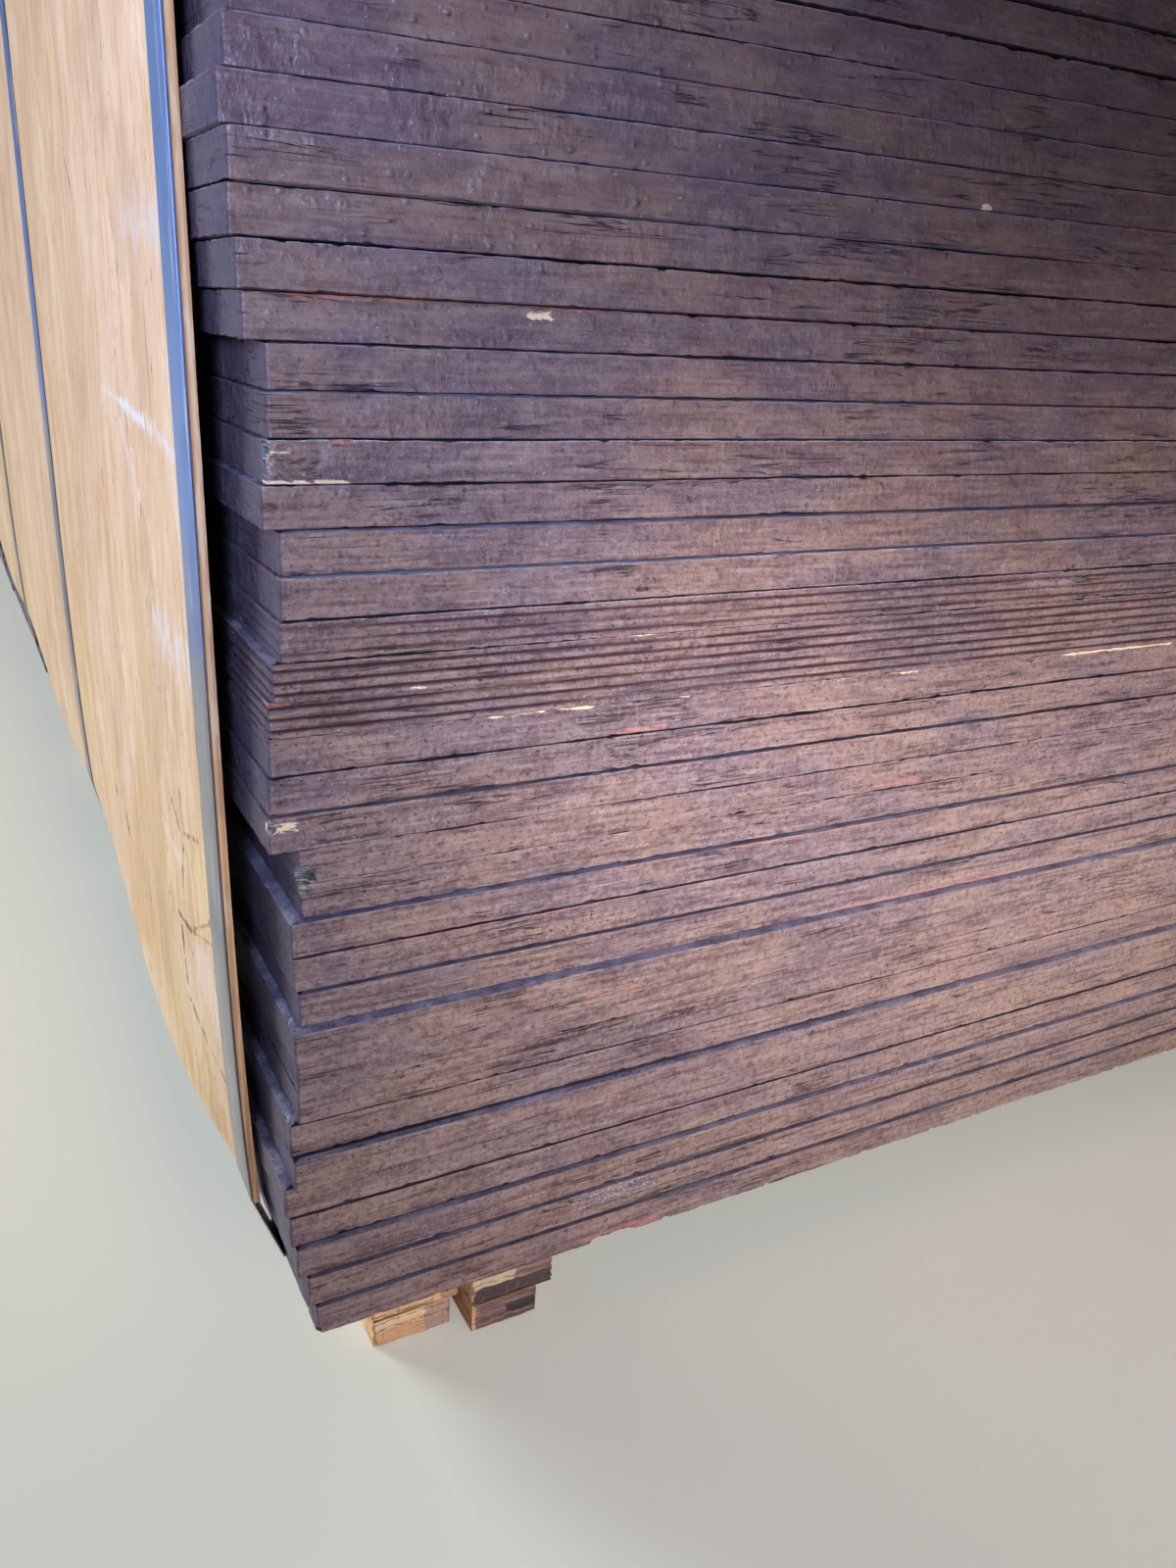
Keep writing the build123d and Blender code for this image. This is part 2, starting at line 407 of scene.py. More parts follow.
edit(plate)
bpy.ops.mesh.select_all(action="SELECT")
bpy.ops.mesh.edge_face_add()
bpy.ops.mesh.extrude_region_move(TRANSFORM_OT_translate={"value": (0, 0, sheet_thick)})
bpy.ops.mesh.select_all(action="SELECT")
bpy.ops.mesh.normals_make_consistent(inside=False)
for height in lip_rows:
    bpy.ops.mesh.select_all(action="SELECT")
    cut((0, 0, height), (0, 0, 1))


def in_close_view(point, face):
    return abs(face.normal.z) < 0.5 and is_near(point)


for height in edge_rows:
    pick(plate, "FACE", lambda point, face: abs(face.normal.z) < 0.5 and not in_close_view(point, face))
    cut((0, 0, height), (0, 0, 1))
for height in ply_rows:
    pick(plate, "FACE", in_close_view)
    cut((0, 0, height), (0, 0, 1))

shrink = (1 - 2 * seam_depth / sheet_wide, 1 - 2 * seam_depth / sheet_long, 1)
pick(plate, "VERT", lambda point, item: point.z < lip / 2 or point.z > sheet_thick - lip / 2)
plate_middle = (sheet_wide / 2, sheet_long / 2, sheet_thick / 2)
bpy.ops.transform.resize(value=shrink, center_override=plate_middle)
done()
print("plate", len(plate.data.vertices), "points")

# %% [markdown]
# The roughening needs to know which points may move. Vertex groups say so: the two lips where a sheet
# meets its neighbours, with a weight that fades away from the joint, the end-grain plies, and the whole
# rim. Groups made once on the plate are copied along with it.

# %% Groups of points on the plate
lip_reach = 2.2 * mm


def group(piece, name, weight_of):
    """A vertex group with the weight that each point's place gives."""
    made = piece.vertex_groups.new(name=name)
    for vertex in piece.data.vertices:
        weight = weight_of(vertex.co)
        if weight > 0:
            made.add([vertex.index], weight, "REPLACE")
    return made


def on_rim(point):
    return lip / 2 < point.z < sheet_thick - lip / 2


def under_top(point):
    return max(0, 1 - (sheet_thick - lip - point.z) / lip_reach) if on_rim(point) else 0


def over_bottom(point):
    return max(0, 1 - (point.z - lip) / lip_reach) if on_rim(point) else 0


def end_grain(point):
    row = point.z / ply - 0.5
    return 1 if is_near(point) and abs(row - round(row)) < 0.01 and round(row) % 2 == 1 else 0


group(plate, "top_lip", under_top)
group(plate, "bottom_lip", over_bottom)
group(plate, "end_grain", end_grain)
group(plate, "rim", lambda point: 1 if on_rim(point) else 0)
print([one.name for one in plate.vertex_groups])

# %% [markdown]
# The edges were sealed with a thin purple-brown paint, rolled on over the whole stack. It is satin, not
# glossy. Where it is thick it runs and dries in small lumps, and where it is thin the plies show as
# faint lines. The colour is built up in layers, from the widest change to the smallest mark. The first
# layers give each part of the pack its tone: paler low on the right, which is partly dust and partly
# painted light from the floor, and darker high up on the right, which is painted shade.

# %% The paint's tone
foot_height = sheet_low.z - 2 * sheet_thick
paint_dark = (0.09, 0.047, 0.062)
paint_violet = (0.17, 0.115, 0.14)
paint_brown = (0.24, 0.15, 0.135)
paint_pale = (0.42, 0.3, 0.26)
side_shade = (0.055, 0.052, 0.1)
black_gap = (0.02, 0.016, 0.024)

edge_paint, tree, shader = new_material("edge paint")
height, across = axis(tree, "Z"), axis(tree, "X")
patches = noise(tree, (9, 9, 22), detail=2)
clouding = noise(tree, (40, 40, 90), (5, 2, 0), detail=3)
dusty_side = levels(tree, across, -0.45, 0.1, 0.35, 1.0)
thin_paint = product(tree, levels(tree, height, 0.25, 0.6, 1.0, 0.25), dusty_side)
# Paler low on the right: partly dust and partly painted light from the floor.
lower_right_dust_and_light = product(tree, levels(tree, height, 0.08, 0.5, 0.4, 0.0), dusty_side)
# Darker high up on the right, away from the corner: painted shade.
away_from_corner = levels(tree, across, -0.5, -0.2, 0.1, 1)
upper_right_shade = product(tree, levels(tree, height, 0.35, 0.8, 0.0, 0.7), away_from_corner)
tone = mix(tree, levels(tree, patches, 0.42, 0.58), paint_violet, paint_brown)
tone = coat(tree, tone, [
    (lower_right_dust_and_light, paint_pale),
    (upper_right_shade, paint_dark),
    (levels(tree, clouding, 0.5, 0.64, 0, 0.12), paint_pale),
    (levels(tree, clouding, 0.36, 0.5, 0.35, 0), paint_dark),
])
print("tone", len(tree.nodes), "nodes")

# %% [markdown]
# The fine marks show more where the paint is thin, so one mask that fades with height goes with all of
# them. A crack is a thin line where a noise passes through its middle value, kept only in some places.
# The sides of the sheets lie in the shade of the cover board, so they are painted bluer and darker:
# painted shade, cooled by the sky.

# %% The paint's fine marks
mottle = noise(tree, (300, 300, 300), (3, 0, 0), detail=3, rough=0.6)
ply_lines = noise(tree, (25, 25, 480), (0, 0, 3), detail=4, rough=0.6, warp=0.3)
grit = noise(tree, (900, 900, 900), detail=1)
specks = noise(tree, (420, 420, 620), (6, 6, 1), detail=1)
painted_glints = noise(tree, (650, 650, 650), (2, 5, 9), detail=0)
cracking = noise(tree, (9, 9, 200), (3, 3, 8), detail=3, rough=0.6, warp=0.5)
cracked_here = levels(tree, noise(tree, (16, 16, 70), (1, 6, 3), detail=2), 0.55, 0.62)
cracks = product(tree, levels(tree, distance_from(tree, cracking, 0.5), 0.004, 0.016, 1, 0), cracked_here)
thin_below = levels(tree, height, 0.3, 0.66, 0.9, 0.3)

# Pattern, its two levels, the share at each, and the colour
fine_marks = [
    (ply_lines, 0.54, 0.64, 0, 0.5, paint_pale), (ply_lines, 0.36, 0.47, 0.9, 0, paint_dark),
    (mottle, 0.52, 0.64, 0, 0.32, paint_pale), (mottle, 0.36, 0.47, 0.55, 0, paint_dark),
    (grit, 0.6, 0.7, 0, 0.45, paint_pale), (specks, 0.28, 0.35, 0.9, 0, (0.03, 0.02, 0.026)),
]
for pattern, low, high, first_share, last_share, mark_colour in fine_marks:
    shown = product(tree, levels(tree, pattern, low, high, first_share, last_share), thin_below)
    tone = mix(tree, shown, tone, mark_colour)
tone = coat(tree, tone, [
    # Painted glints: sparse small highlights, pale and bluish.
    (levels(tree, painted_glints, 0.79, 0.86, 0, 0.5), (0.42, 0.38, 0.46)),
    (product(tree, cracks, 0.85), black_gap),
    # Painted shade on the sides of the sheets, bluer and darker.
    (levels(tree, side_normal(tree, "X"), -0.85, -0.5, 0.8, 0.0), side_shade),
])
print("fine marks", len(fine_marks))

# %% [markdown]
# Some places have wear of their own: bare cream or reddish wood, pale dust and grime. The pale kind
# also carries painted highlights along some arrises. Each sheet's mesh carries them in a colour attribute,
# one kind in each channel, and a noise tears their outlines.
# Another attribute marks the end-grain plies of the sheets whose paint sank in, which the paint darkens
# as painted shade in their hollows.

# %% The paint's wear
bare_cream = (0.86, 0.66, 0.45)
bare_red = (0.5, 0.2, 0.16)
pale_dust_and_sheen = (0.6, 0.63, 0.78)
wear = add(tree, "Attribute", attribute_name="wear")
kinds = add(tree, "SeparateColor", {"Color": wear.outputs["Color"]}).outputs
torn = noise(tree, (130, 130, 520), (2, 2, 2), detail=5, rough=0.75)


def worn(kind, sharp=0.1):
    """A ragged mask from one channel of the wear attribute."""
    level = combine(tree, "ADD", kind, product(tree, combine(tree, "SUBTRACT", torn, 0.5), 2.2))
    return levels(tree, product(tree, level, combine(tree, "SIGN", kind)), 0.5 - sharp, 0.5 + sharp)


flakes = levels(tree, noise(tree, (520, 520, 900), (8, 0, 1), detail=4, rough=0.8), 0.5, 0.64)
solid = levels(tree, combine(tree, "ADD", kinds["Blue"], product(tree, torn, 0.4)), 0.95, 1.1)
pale_and_sheen = product(tree, kinds["Blue"], combine(tree, "MAXIMUM", flakes, solid))
rib_shade = add(tree, "Attribute", attribute_name="rib_shade").outputs["Fac"]
rib_break = levels(tree, noise(tree, (12, 12, 260), (0, 5, 0), detail=3), 0.36, 0.5, 0.45, 1.3)
print("wear", len(tree.nodes), "nodes")

# %% [markdown]
# The joint between two sheets is painted dark as shade, and a painted shadow widens it just under the
# upper one. The arris below it catches the cool light, painted on as a highlight, and in places both
# arrises are rubbed down to reddish wood. All of this depends only on how far up its own sheet a point
# lies, from 0 to 1, with a noise that runs along the joint.

# %% The joints between the sheets
raised = combine(tree, "SUBTRACT", height, foot_height)
in_sheet = combine(tree, "FRACT", combine(tree, "DIVIDE", raised, sheet_thick))
from_middle = distance_from(tree, in_sheet, 0.5)
shadow_under_sheet = levels(tree, in_sheet, 0.02, 0.055, 1, 0)
joint_shade = combine(tree, "MAXIMUM", levels(tree, from_middle, 0.475, 0.497), shadow_under_sheet)
along_joint = noise(tree, (22, 22, 60), (4, 0, 6), detail=4, rough=0.7)
arris_highlight = product(tree, levels(tree, in_sheet, 0.93, 0.965), levels(tree, in_sheet, 0.965, 0.99, 1, 0))
rubbed_here = levels(tree, along_joint, 0.42, 0.5, 0.75, 0)
raw_arris = product(tree, levels(tree, from_middle, 0.42, 0.48), rubbed_here, dusty_side)
tone = coat(tree, tone, [
    # Painted shade in the sunk end-grain plies.
    (product(tree, rib_shade, rib_break), (0.05, 0.025, 0.032)),
    # Painted highlight on the arris below the joint.
    (product(tree, arris_highlight, levels(tree, along_joint, 0.42, 0.55, 0, 0.5)), (0.33, 0.3, 0.42)),
    (raw_arris, bare_red),
    (worn(kinds["Green"], 0.25), bare_red),
    (worn(kinds["Red"]), bare_cream),
    # Pale scuffs, and painted highlights along some arrises.
    (pale_and_sheen, pale_dust_and_sheen),
    (product(tree, worn(wear.outputs["Alpha"], 0.2), 0.85), black_gap),
    # Painted shade in the joint, widest under the upper sheet.
    (product(tree, joint_shade, 0.8), black_gap),
])
tree.links.new(tone, shader.inputs["Base Color"])

# %% [markdown]
# Small lumps, runs and brush marks are too fine for the mesh, so they are bumps, one on top of the
# other. The lumps are the domes of a Voronoi pattern, of which only some are kept, in crowds. A bump
# reads its height three times but its strength once, so the choice of the lumps is the strength.

# %% The paint's relief and gloss
cells = add(tree, "TexVoronoi", {"Vector": place(tree), "Scale": 170.0}).outputs
dome = levels(tree, cells["Distance"], 0.02, 0.34, 1.0, 0.0)
chosen = add(tree, "SeparateColor", {"Color": cells["Color"]}).outputs["Red"]
crowded = noise(tree, (24, 24, 40), (5, 5, 5), detail=3)
lumps_here = levels(tree, combine(tree, "ADD", chosen, crowded), 0.95, 1.15)
wrinkles = noise(tree, (240, 240, 110), (1, 7, 2), detail=2)
wrinkled = levels(tree, noise(tree, (30, 30, 55), (2, 9, 2), detail=2), 0.5, 0.62)
ripples = noise(tree, (60, 60, 110), (7, 7, 2), detail=2)

# Height, millimetres and strength
reliefs = [
    (ripples, 1.6, 1.0), (ply_lines, 0.45, 1.0), (product(tree, wrinkles, wrinkled), 1.6, 1.0),
    (mottle, 0.5, 1.0), (grit, 0.25, 1.0), (dome, 0.7, lumps_here), (cracks, -0.6, 1.0),
]
bump = None
for raised_by, millimetres, strength in reliefs:
    bump = relief(tree, raised_by, millimetres * mm, strength, bump)
tree.links.new(bump, shader.inputs["Normal"])
gloss = levels(tree, clouding, 0.35, 0.65, 0.42, 0.3, smooth=False)
roughness = combine(tree, "ADD", gloss, product(tree, thin_paint, 0.25))
tree.links.new(roughness, shader.inputs["Roughness"])
shader.inputs["Specular IOR Level"].default_value = 0.34
print("edge paint", len(tree.nodes), "nodes")

# %% [markdown]
# The faces carry a phenolic film: dark, thin and fairly glossy, with dust on it. Only the narrow ledges
# show it, where one sheet stands further out than the sheet above, and there it mirrors the sky, so its
# colour is painted light and blue, a painted reflection. The ledge attribute of a sheet's mesh says how
# far it stands out, so a closed joint keeps the film's own dark colour.

# %% The film
film, tree, shader = new_material("phenolic film")
haze = noise(tree, (60, 60, 60), detail=4)
speck = noise(tree, (500, 500, 500), detail=2)
on_dusty_side = levels(tree, axis(tree, "X"), -0.45, 0.1, 0.1, 0.8)
settled = product(tree, on_dusty_side, levels(tree, haze, 0.4, 0.6, 0.3, 1))
film_wear = add(tree, "Attribute", attribute_name="wear").outputs["Color"]
scuffed_and_sheen = add(tree, "SeparateColor", {"Color": film_wear}).outputs["Blue"]
open_ledge = add(tree, "Attribute", attribute_name="ledge").outputs["Fac"]
# Painted reflection of the sky: the film is made light and blue where a ledge is open.
film_and_sky_reflection = mix(tree, levels(tree, haze, 0.4, 0.6), (0.17, 0.17, 0.27), (0.34, 0.34, 0.47))
film_and_sky_reflection = coat(tree, film_and_sky_reflection, [
    (settled, (0.42, 0.41, 0.54)),
    (levels(tree, speck, 0.58, 0.7, 0, 0.3), (0.42, 0.44, 0.58)),
    (levels(tree, speck, 0.34, 0.44, 0.6, 0), (0.05, 0.045, 0.075)),
    # Pale scuffs, and painted highlights along some arrises.
    (scuffed_and_sheen, pale_dust_and_sheen),
])
film_and_sky_reflection = mix(tree, open_ledge, (0.03, 0.028, 0.045), film_and_sky_reflection)
tree.links.new(film_and_sky_reflection, shader.inputs["Base Color"])
tree.links.new(levels(tree, haze, 0.3, 0.7, 0.36, 0.55), shader.inputs["Roughness"])
tree.links.new(relief(tree, speck, 0.5 * mm), shader.inputs["Normal"])
print("film", len(tree.nodes), "nodes")

# %% [markdown]
# Bare wood shows where a corner has been knocked off, grey and weathered or fresh and red. The plate
# then gets its four finishes, and its two big faces take the film.

# %% The bare wood
def torn_wood(name, deep, light, stain):
    """Torn ply fibres: deep and light lines, with a stain over a part."""
    wood, tree, shader = new_material(name)
    fibre = noise(tree, (60, 60, 900), detail=4)
    wood_colour = mix(tree, levels(tree, fibre, 0.42, 0.58), deep, light)
    stained = levels(tree, noise(tree, (300, 300, 300)), 0.48, 0.58)
    wood_colour = mix(tree, stained, wood_colour, stain)
    tree.links.new(wood_colour, shader.inputs["Base Color"])
    shader.inputs["Roughness"].default_value = 0.8
    tree.links.new(relief(tree, fibre, 0.8 * mm), shader.inputs["Normal"])
    return wood


bare_wood = torn_wood("weathered break", (0.07, 0.06, 0.065), (0.45, 0.38, 0.3), (0.13, 0.17, 0.25))
red_wood = torn_wood("red break", (0.12, 0.05, 0.05), (0.45, 0.22, 0.17), (0.26, 0.12, 0.11))
for finish in (edge_paint, film, bare_wood, red_wood):
    plate.data.materials.append(finish)

edit(plate)
pick(plate, "FACE", lambda point, face: abs(face.normal.z) > 0.5)
plate.active_material_index = 1
bpy.ops.object.material_slot_assign()
done()
print("finishes on the plate", [finish.name for finish in plate.data.materials])

# %% [markdown]
# Every sheet is now a copy of the plate with its own mesh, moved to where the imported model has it. The
# noises read the place in the pack, so each sheet comes out different. A few sheets, whose paint sank
# into the wood, show the end-grain plies as deep ribs.

# %% The sheets in their places
gap_above = clouds("gap above", 60 * mm, 0.42, 0.8)
gap_below = clouds("gap below", 85 * mm, 0.45, 0.8, "IMPROVED_PERLIN")
ragged_above = clouds("ragged above", 7 * mm, 0.4, 0.85, "IMPROVED_PERLIN")
ragged_below = clouds("ragged below", 9 * mm, 0.42, 0.85)
small_bites = clouds("small bites", 5 * mm, 0.64, 0.8)
paint_lumps = clouds("paint lumps", 9 * mm, 0.3, 0.8)
rib_depth = clouds("rib depth", 70 * mm, 0.1, 0.4)
ribbed = {19: 1.0, 20: 1.0, 21: 0.8}
usual_rib = 0.12

sheets = {}
for name in sheet_names:
    number = int(name[-2:])
    sheet = plate.copy()
    sheet.data = plate.data.copy()
    sheet.name = f"painted_{name}"
    bpy.context.scene.collection.objects.link(sheet)
    bpy.ops.object.select_all(action="DESELECT")
    sheet.select_set(True)
    bpy.context.view_layer.objects.active = sheet
    sheet.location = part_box(name)[0]
    bpy.ops.object.transform_apply(location=True, rotation=False, scale=False)
    push(sheet, gap_above, -0.75 * mm, "top_lip", "Z")
    push(sheet, gap_below, 0.65 * mm, "bottom_lip", "Z")
    push(sheet, ragged_above, -0.6 * mm, "top_lip", "Z")
    push(sheet, ragged_below, 0.5 * mm, "bottom_lip", "Z")
    push(sheet, rib_depth, -ribbed.get(number, usual_rib) * mm, "end_grain")
    push(sheet, paint_lumps, -0.35 * mm, "rim")
    push(sheet, small_bites, -1.3 * mm, "top_lip")
    push(sheet, small_bites, -1.3 * mm, "bottom_lip")
    sheets[number] = sheet
bpy.data.objects.remove(plate)
print(len(sheets), "sheets,", len(sheets[1].data.vertices), "points each")

# %% [markdown]
# Some near corners were knocked off. A roughened lump, cut out of the sheet with a Boolean, leaves a
# torn hollow, and the Boolean gives the hollow the lump's own material.

# %% The broken corners
rough_break = clouds("rough break", 3 * mm, 0.2, 0.8)


def knock_off(sheet, where, size, inside):
    """Cuts a rough lump out of a sheet and shows the wood inside."""
    bpy.ops.object.select_all(action="DESELECT")
    bpy.ops.mesh.primitive_ico_sphere_add(subdivisions=4, radius=1.0, location=where)
    lump = bpy.context.object
    lump.scale = size
    bpy.ops.object.transform_apply(location=True, rotation=True, scale=True)
    push(lump, rough_break, -0.3 * min(size))
    lump.data.materials.append(inside)
    bpy.ops.object.select_all(action="DESELECT")
    bpy.context.view_layer.objects.active = sheet
    modifier = sheet.modifiers.new("break", "BOOLEAN")
    modifier.operation = "DIFFERENCE"
    modifier.solver = "EXACT"
    modifier.material_mode = "TRANSFER"
    modifier.object = lump
    bpy.ops.object.modifier_apply(modifier=modifier.name)
    bpy.data.objects.remove(lump)


# Sheet number, then the lump's middle from the sheet's near left corner, and its half sizes, in millimetres
breaks = [
    (1, (-1, 0, 2), (4, 5, 4), bare_wood),
    (1, (168, -1, 0), (9, 5, 5), red_wood),
    (1, (181, -1, 0), (11, 5, 5), red_wood),
    (14, (0, 0, 16), (5, 5, 6), bare_wood),
    (15, (1, 0, 4), (8, 9, 7), bare_wood),
    (16, (-1, 0, 13), (5, 4, 5), bare_wood),
    (25, (-1, 2, 14), (4, 6, 6), bare_wood),
    (25, (31, -1, 19), (7, 3, 5), red_wood),
]
for number, where, size, inside in breaks:
    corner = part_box(f"sheet_{number:02d}")[0]
    knock_off(sheets[number], corner + Vector(where) * mm, Vector(size) * mm, inside)
print(len(breaks), "corners broken")

# %% [markdown]
# Single marks make the pack this pack and no other: cream slivers where the paint missed, reddish raw
# lines, pale scuffs and grime. The long pale lines along the tops of sheets 21, 22 and 25 are painted
# highlights on their arrises. Each mark is a stretch along the near end, written in millimetres from the
# sheet's near left corner. The points in it get their value in the wear attribute, and the paint's
# noise tears the outline.

# %% The marks on the edges
CREAM, RED, PALE_SCUFF_AND_SHEEN, GRIME = 0, 1, 2, 3

# Sheet number, kind, start and end along X, low and high, strength
marks = [
    (18, CREAM, 79, 152, 17.0, 18, 0.6), (18, CREAM, 149, 158, 16.6, 18, 0.9),
    (18, CREAM, 208, 215, 16.8, 18, 0.8), (18, CREAM, 301, 378, 17.0, 18, 0.6),
    (18, CREAM, 488, 577, 16.4, 18, 0.75), (18, RED, 167, 200, 1.0, 2.4, 0.5),
    (20, CREAM, 165, 185, 17.2, 18, 0.55), (28, RED, 20, 71, 17.0, 18, 0.7),
    (28, RED, 137, 373, 17.0, 18, 0.5), (28, CREAM, 120, 129, 13, 16, 0.6),
    (13, RED, 248, 384, 16.6, 18, 0.55), (15, RED, 336, 370, 2.5, 4.0, 0.5),
    (10, RED, 157, 188, 1.0, 3.0, 0.5), (5, RED, 403, 546, 16.2, 18, 0.6),
    (1, RED, 155, 205, 0.3, 5.0, 0.5), (19, RED, -1, 9, 15.0, 18, 0.9),
    (2, PALE_SCUFF_AND_SHEEN, 155, 205, 8, 17, 0.75), (12, PALE_SCUFF_AND_SHEEN, 290, 330, 10, 18, 0.3),
    (21, PALE_SCUFF_AND_SHEEN, 430, 470, 8, 17, 0.35), (2, PALE_SCUFF_AND_SHEEN, 300, 318, 1, 10, 0.5),
    (32, CREAM, 365, 369, 0.5, 3, 0.9), (25, PALE_SCUFF_AND_SHEEN, 0, 560, 17.2, 18, 0.95),
    (22, PALE_SCUFF_AND_SHEEN, 0, 600, 17.4, 18.1, 0.85), (21, PALE_SCUFF_AND_SHEEN, 0, 600, 17.4, 18.1, 0.8),
    (8, GRIME, 205, 245, 7, 13, 0.5), (22, GRIME, 168, 173, 3, 6, 0.8),
    (16, GRIME, 22, 50, 2, 4, 0.6), (25, CREAM, 0, 33, 0.2, 1.0, 0.8),
    (25, CREAM, 1, 9, 12, 13, 0.8), (16, CREAM, -1, 12, 10, 15, 0.6),
    (25, GRIME, 3, 21, 2, 16, 0.4), (25, PALE_SCUFF_AND_SHEEN, -2, 4, 3, 17, 0.6), (24, GRIME, 1, 6, 8, 13, 0.5),
    (20, PALE_SCUFF_AND_SHEEN, 60, 68, 1, 2.5, 0.4), (20, CREAM, 60, 67, 1.2, 2.2, 0.5), (19, GRIME, 2, 32, 15.5, 17, 0.45),
    (16, GRIME, 30, 60, 8, 9, 0.45), (27, GRIME, 0, 8, 13, 15, 0.4), (18, GRIME, 420, 450, 8, 9, 0.45),
    (12, RED, 60, 170, 16.8, 18, 0.5), (11, RED, 330, 470, 0, 1.5, 0.6), (9, RED, 420, 560, 16.8, 18, 0.5),
]


mark_depth = 6.0        # how far in from the end a mark reaches, in millimetres
mark_margin = 0.4


def mark(sheet, origin, kind, start, end, low, high, strength):
    """Writes one mark into the wear attribute, fading over its last millimetres."""
    wear = sheet.data.attributes["wear"].data
    fade = 2.0 + 0.1 * (end - start)
    for vertex in sheet.data.vertices:
        x, y, z = (vertex.co - origin) / mm
        on_end = -2 < y < mark_depth and low - mark_margin < z < high + mark_margin
        if on_end and start - fade < x < end + fade:
            ends = min(1.0, (x - start + fade) / fade, (end + fade - x) / fade)
            level = list(wear[vertex.index].color)
            level[kind] = max(level[kind], strength * ends)
            wear[vertex.index].color = level


print(len(marks), "marks")

# %% [markdown]
# The attributes are written on every sheet's mesh: the wear, which also holds painted highlights, how far
# the sheet stands out from the one above, and the sunk plies of those whose paint sank in, for their
# painted shade. Then the sheets take the places of the plain ones.

# %% The sheets' attributes and names
sheet_smooth = radians(38)
full_ledge = 4 * mm
end_depth = 6 * mm


def write_ledge(number, sheet):
    """Writes how far a sheet's end and its side stand out from the sheet above, as 0 to 1."""
    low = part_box(f"sheet_{number:02d}")[0]
    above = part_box(f"sheet_{min(number + 1, len(sheets)):02d}")[0]
    steps = ((above - low) / full_ledge)[:2]
    at_side, at_end = (max(0.0, min(1.0, step)) for step in steps)
    ledge = sheet.data.attributes.new("ledge", "FLOAT", "POINT").data
    for vertex in sheet.data.vertices:
        x, y = vertex.co.x - low.x, vertex.co.y - low.y
        ledge[vertex.index].value = at_end if y < end_depth and x > y else at_side


def write_ribs(number, sheet):
    """Writes which points are end-grain plies, on the sheets that have ribs."""
    rib_shade = sheet.data.attributes.new("rib_shade", "FLOAT", "POINT").data
    if number not in ribbed:
        return
    end_grain_group = sheet.vertex_groups["end_grain"].index
    for vertex in sheet.data.vertices:
        if any(entry.group == end_grain_group for entry in vertex.groups):
            rib_shade[vertex.index].value = ribbed[number]


for number, sheet in sheets.items():
    unworn = [0.0] * (4 * len(sheet.data.vertices))
    sheet.data.attributes.new("wear", "FLOAT_COLOR", "POINT").data.foreach_set("color", unworn)
    write_ledge(number, sheet)
    write_ribs(number, sheet)
for number, kind, start, end, low, high, strength in marks:
    mark(sheets[number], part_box(f"sheet_{number:02d}")[0], kind, start, end, low, high, strength)

for number, sheet in sheets.items():
    bpy.ops.object.select_all(action="DESELECT")
    sheet.select_set(True)
    bpy.context.view_layer.objects.active = sheet
    bpy.ops.object.shade_smooth_by_angle(angle=sheet_smooth)
    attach(sheet, "root")
    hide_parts(f"sheet_{number:02d}")
print(len(sheets), "sheets worn")

# %% [markdown]
# The cover boards are raw, dry veneer. Its grain runs along the pack's height, so the noises are
# stretched that way and bent a little by their own distortion. From wide to fine they are bands, grain,
# fibres and flecks, with a pink blush and splits that follow the grain.

# %% The veneer's grain
veneer, tree, shader = new_material("cover veneer")
bands = noise(tree, (1, 10, 3), (0, 3, 1), detail=3, rough=0.5, warp=1.2)
grain = noise(tree, (1, 38, 8), detail=4, rough=0.6, warp=2.2)
fibres = noise(tree, (1, 380, 55), (0, 7, 5), detail=3, rough=0.65, warp=0.5)
flecks = noise(tree, (1, 260, 90), (0, 1, 8), detail=2)
patches = noise(tree, (1, 14, 9), (0, 2, 9), detail=4, rough=0.6)
blush = noise(tree, (1, 5, 3), (0, 8, 4), detail=2)
lines = noise(tree, (1, 34, 1.6), (0, 4, 2), detail=3, rough=0.5, warp=0.6)
split = levels(tree, distance_from(tree, lines, 0.5), 0.0, 0.0035, 1.0, 0.0)
split_here = levels(tree, patches, 0.5, 0.58)
high_on_pack = levels(tree, axis(tree, "Z"), 0.1, 0.5)
board_colour = mix(tree, high_on_pack, (0.85, 0.63, 0.38), (0.82, 0.58, 0.41))
board_colour = coat(tree, board_colour, [
    (levels(tree, bands, 0.42, 0.6, 0.45, 0), (0.6, 0.35, 0.18)),
    (levels(tree, blush, 0.45, 0.6, 0, 0.35), (0.84, 0.62, 0.52)),
    (levels(tree, grain, 0.5, 0.62, 0, 0.55), (0.66, 0.4, 0.2)),
    (levels(tree, grain, 0.34, 0.46, 0.35, 0), (0.9, 0.7, 0.5)),
    (levels(tree, patches, 0.52, 0.66, 0, 0.4), (0.55, 0.38, 0.27)),
    (levels(tree, patches, 0.34, 0.46, 0.3, 0), (0.93, 0.78, 0.64)),
    (levels(tree, fibres, 0.54, 0.68, 0, 0.45), (0.5, 0.29, 0.15)),
    (levels(tree, flecks, 0.68, 0.74, 0, 0.7), (0.2, 0.12, 0.09)),
    (product(tree, split, split_here, 0.75), (0.2, 0.11, 0.07)),
])
shader.inputs["Roughness"].default_value = 0.62
shader.inputs["Specular IOR Level"].default_value = 0.3
bump = relief(tree, grain, 0.5 * mm, 0.8)
bump = relief(tree, fibres, 0.15 * mm, 0.8, bump)
bump = relief(tree, split, -0.4 * mm, split_here, bump)
tree.links.new(bump, shader.inputs["Normal"])
print("veneer", len(tree.nodes), "nodes")

